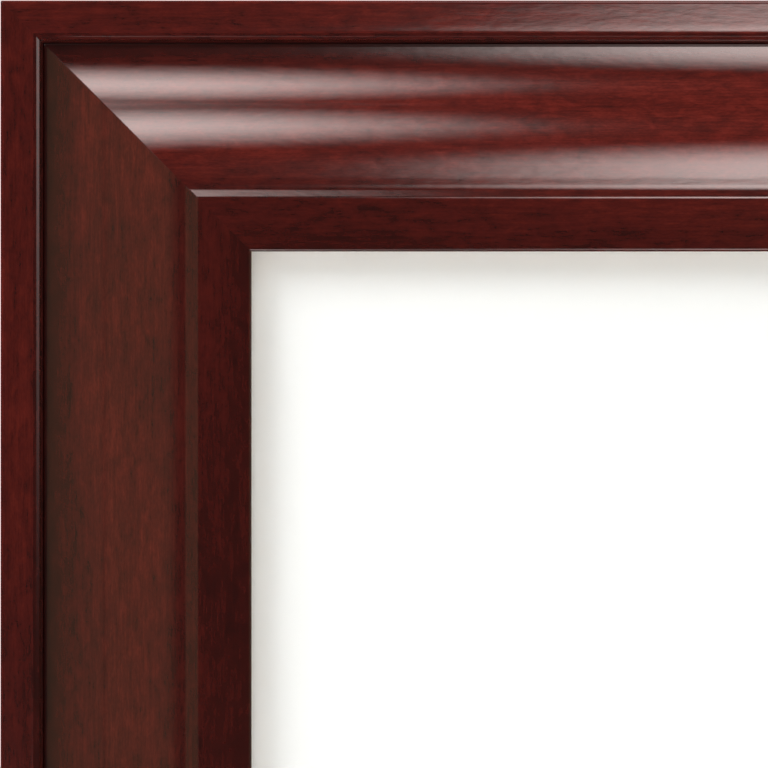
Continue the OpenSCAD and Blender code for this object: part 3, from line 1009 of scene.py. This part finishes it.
class FRAME_OT_hangers(bpy.types.Operator):
    """Draw the two strap hangers and their rings"""

    bl_idname = "frame.hangers"
    bl_label = "Hangers"

    def execute(self, context):
        s = context.scene.frame_fittings
        bar_h = JOINTS["ring_top"]["pos_m"][1] - BACK_Y
        strap, ring = strap_mesh(s, bar_h), ring_mesh(s, bar_h)
        for name, place in hanger_spots():
            placed(
                "rolled_strap_" + name, strap.copy(), place, finish(zinc_plate),
                "frame", "zinc_steel", "hanger_strap_" + name,
            )
            placed(
                "wire_ring_" + name, ring.copy(), place, finish(nickel_plate),
                "ring_" + name, "ring_steel", "hanger_ring_" + name,
            )
        return {"FINISHED"}


class FRAME_OT_screws(bpy.types.Operator):
    """Draw the screws that hold the turn buttons and the hangers"""

    bl_idname = "frame.screws"
    bl_label = "Screws"

    def execute(self, context):
        s = context.scene.frame_fittings
        sets = (
            ("turn_button_screws", s.button_t + s.button_clear, [place for _, place in button_spots()]),
            ("hanger_screws", 2 * s.strap_t, strap_screw_spots()),
        )
        for node, under, spots in sets:
            places = [spot @ Matrix.Rotation(1.9 * i, 4, "Y") for i, spot in enumerate(spots)]
            mesh = joined(node, screw_mesh(s, under), places)
            material = finish(brass_plate)
            placed("cross_head_" + node, mesh, Matrix(), material, "frame", "brassed_screws", node)
        return {"FINISHED"}


class FRAME_OT_bumpers(bpy.types.Operator):
    """Draw the four rubber wall bumpers"""

    bl_idname = "frame.bumpers"
    bl_label = "Wall Bumpers"

    def execute(self, context):
        s = context.scene.frame_fittings
        for corner in CORNERS:
            node = "wall_bumper_" + corner
            low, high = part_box(node)
            r, h = (high.x - low.x) / 2, high.y - low.y
            end = s.bumper_end / 2
            round_r, ease, flange, groove = s.bumper_round, 0.1 * MM, 0.62 * MM, 0.66 * MM
            outline = [(0, 0), (r - ease, 0), (r, ease), (r, flange - 0.12 * MM), (r - 0.12 * MM, flange)]
            outline += [(r - 0.4 * MM, groove)]
            outline += [(p.x, p.y) for p in arc((end - round_r, h - round_r), round_r, 8, 90, 8)]
            outline += [(end * 0.4, h), (0, h)]
            mesh = smooth_mesh(node, lambda bm: revolve(bm, outline, 48), 50)
            placed("moulded_bumper_" + corner, mesh, on_back((low + high) / 2), finish(moulded_rubber),
                   "frame", "bumper_rubber", node)
        return {"FINISHED"}


class FRAME_OT_studio(bpy.types.Operator):
    """Set up the floor, the lamps, the room and the camera"""

    bl_idname = "frame.studio"
    bl_label = "Studio"

    def execute(self, context):
        s = context.scene.frame_studio
        self.floor()
        self.room(context, s)
        face_y = BACK_Y - SIGHT_D
        aim = Vector((RAIL_LOW.x + s.view_in, face_y, RAIL_HIGH.z - s.view_in))
        scoop = Vector((aim.x, face_y, RAIL_HIGH.z - SCOOP_W))
        places = {"view": aim, "scoop": scoop, "frame": CENTRE}
        for name, place, *rest in LAMPS:
            self.lamp(name, getattr(s, name), places[place], *rest)
        self.camera(context, s, aim)
        context.scene.view_settings.view_transform = "Standard"
        return {"FINISHED"}

    def floor(self):
        """The floor under the frame, which neither mirrors in it nor shades it."""
        half = 6.0
        mesh = bpy.data.meshes.new("studio_floor")
        corners = [(-half, -half, 0), (half, -half, 0), (half, half, 0), (-half, half, 0)]
        mesh.from_pydata(corners, [], [(0, 1, 2, 3)])
        mesh.materials.append(finish(painted_floor))
        made = add_object("studio_floor", mesh)
        made.location.z = FOOT
        made.visible_glossy = made.visible_shadow = False

    def room(self, context, s):
        """A room pale to the camera, dim in front of the frame, where flags stand, and light behind."""
        world = bpy.data.worlds.new("studio_room")
        world.use_nodes = True
        tree = world.node_tree
        tree.nodes.clear()
        ray = put(tree, "ShaderNodeLightPath")
        way = put(tree, "ShaderNodeTexCoord")
        along = put(tree, "ShaderNodeSeparateXYZ", links={0: way.outputs["Generated"]}).outputs["Y"]
        light = spread(tree, along, -0.1, 0.5, s.sky, s.back_sky)
        felt = put(tree, "ShaderNodeBackground", links={"Strength": light})
        seen = put(tree, "ShaderNodeBackground", {"Color": rgba(context.scene.frame_colours.room)})
        links = {0: ray.outputs["Is Camera Ray"], 1: felt.outputs[0], 2: seen.outputs[0]}
        mix = put(tree, "ShaderNodeMixShader", links=links)
        put(tree, "ShaderNodeOutputWorld", links={"Surface": mix.outputs[0]})
        context.scene.world = world

    def lamp(self, name, brightness, aim, shift, turn, far, size, fade, shade="#ffffff"):
        """A softbox whose glow fades towards its edges, and more at its corners."""
        right, up = (math.radians(a) for a in turn)
        out = Vector((math.sin(right) * math.cos(up), -math.cos(right) * math.cos(up), math.sin(up)))
        light = bpy.data.lights.new(name, "AREA")
        light.shape = "RECTANGLE"
        light.size, light.size_y = size
        light.energy = brightness * math.pi * size[0] * size[1]
        light.color = linear(shade)
        light.use_nodes = True
        tree = light.node_tree
        tree.nodes.clear()
        place = put(tree, "ShaderNodeNewGeometry").outputs["Parametric"]
        across = put(tree, "ShaderNodeSeparateXYZ", links={0: place})
        corner = 1.6
        edge = 0.0
        for axis, start, share in zip("XXYY", (0, 1, 0, 1), fade):
            inner = start + share if start == 0 else start - share
            near = spread(tree, across.outputs[axis], inner, start)
            edge = maths(tree, "ADD", edge, maths(tree, "POWER", near, corner))
        edge = maths(tree, "POWER", edge, 1 / corner)
        values = {"From Min": 1.0, "From Max": 0.0}
        glow = put(tree, "ShaderNodeMapRange", values, {"Value": edge}, interpolation_type="SMOOTHSTEP")
        shine = put(tree, "ShaderNodeEmission", links={"Strength": glow.outputs[0]})
        put(tree, "ShaderNodeOutputLight", links={"Surface": shine.outputs[0]})
        made = add_object(name, light)
        made.location = aim + out * far + Vector((shift[0], 0, shift[1]))
        made.rotation_mode = "QUATERNION"
        made.rotation_quaternion = out.to_track_quat("Z", "Y")
        made.visible_camera = False

    def camera(self, context, s, aim):
        """A long lens straight in front of the view's middle."""
        lens = bpy.data.cameras.new("camera")
        lens.lens = s.camera_far * lens.sensor_width / s.view_w
        lens.clip_end = 100
        made = add_object("camera", lens)
        made.location = aim + Vector((0, -s.camera_far, 0))
        made.rotation_euler = (math.pi / 2, 0, 0)
        context.scene.camera = made


class FRAME_PT_panel(bpy.types.Panel):
    """The frame's pieces and sizes"""

    bl_idname = "FRAME_PT_panel"
    bl_label = "Picture Frame"
    bl_space_type = "VIEW_3D"
    bl_region_type = "UI"
    bl_category = "Frame"

    def draw(self, context):
        for operator in OPERATORS:
            self.layout.operator(operator.bl_idname)
        for group in (name for name, _ in GROUPS):
            box = self.layout.box()
            sizes = getattr(context.scene, group)
            for prop in sizes.bl_rna.properties:
                if not prop.is_readonly and prop.identifier != "name":
                    box.prop(sizes, prop.identifier)


GROUPS = (
    ("frame_moulding", MouldingSizes),
    ("frame_fittings", FittingSizes),
    ("frame_colours", FinishColours),
    ("frame_studio", StudioSizes),
)
OPERATORS = (
    FRAME_OT_mouldings, FRAME_OT_sheets, FRAME_OT_turn_buttons, FRAME_OT_hangers, FRAME_OT_screws,
    FRAME_OT_bumpers, FRAME_OT_studio,
)


def register():
    """Adds the settings, the operators and the panel."""
    for name, group in GROUPS:
        bpy.utils.register_class(group)
        setattr(bpy.types.Scene, name, PointerProperty(type=group))
    for operator in OPERATORS:
        bpy.utils.register_class(operator)
    bpy.utils.register_class(FRAME_PT_panel)


def unregister():
    """Takes them away again."""
    bpy.utils.unregister_class(FRAME_PT_panel)
    for operator in reversed(OPERATORS):
        bpy.utils.unregister_class(operator)
    for name, group in reversed(GROUPS):
        delattr(bpy.types.Scene, name)
        bpy.utils.unregister_class(group)


def main():
    """Draws every piece and the studio."""
    register()
    for operator in OPERATORS:
        area, name = operator.bl_idname.split(".")
        getattr(getattr(bpy.ops, area), name)()


if __name__ == "__main__":
    main()
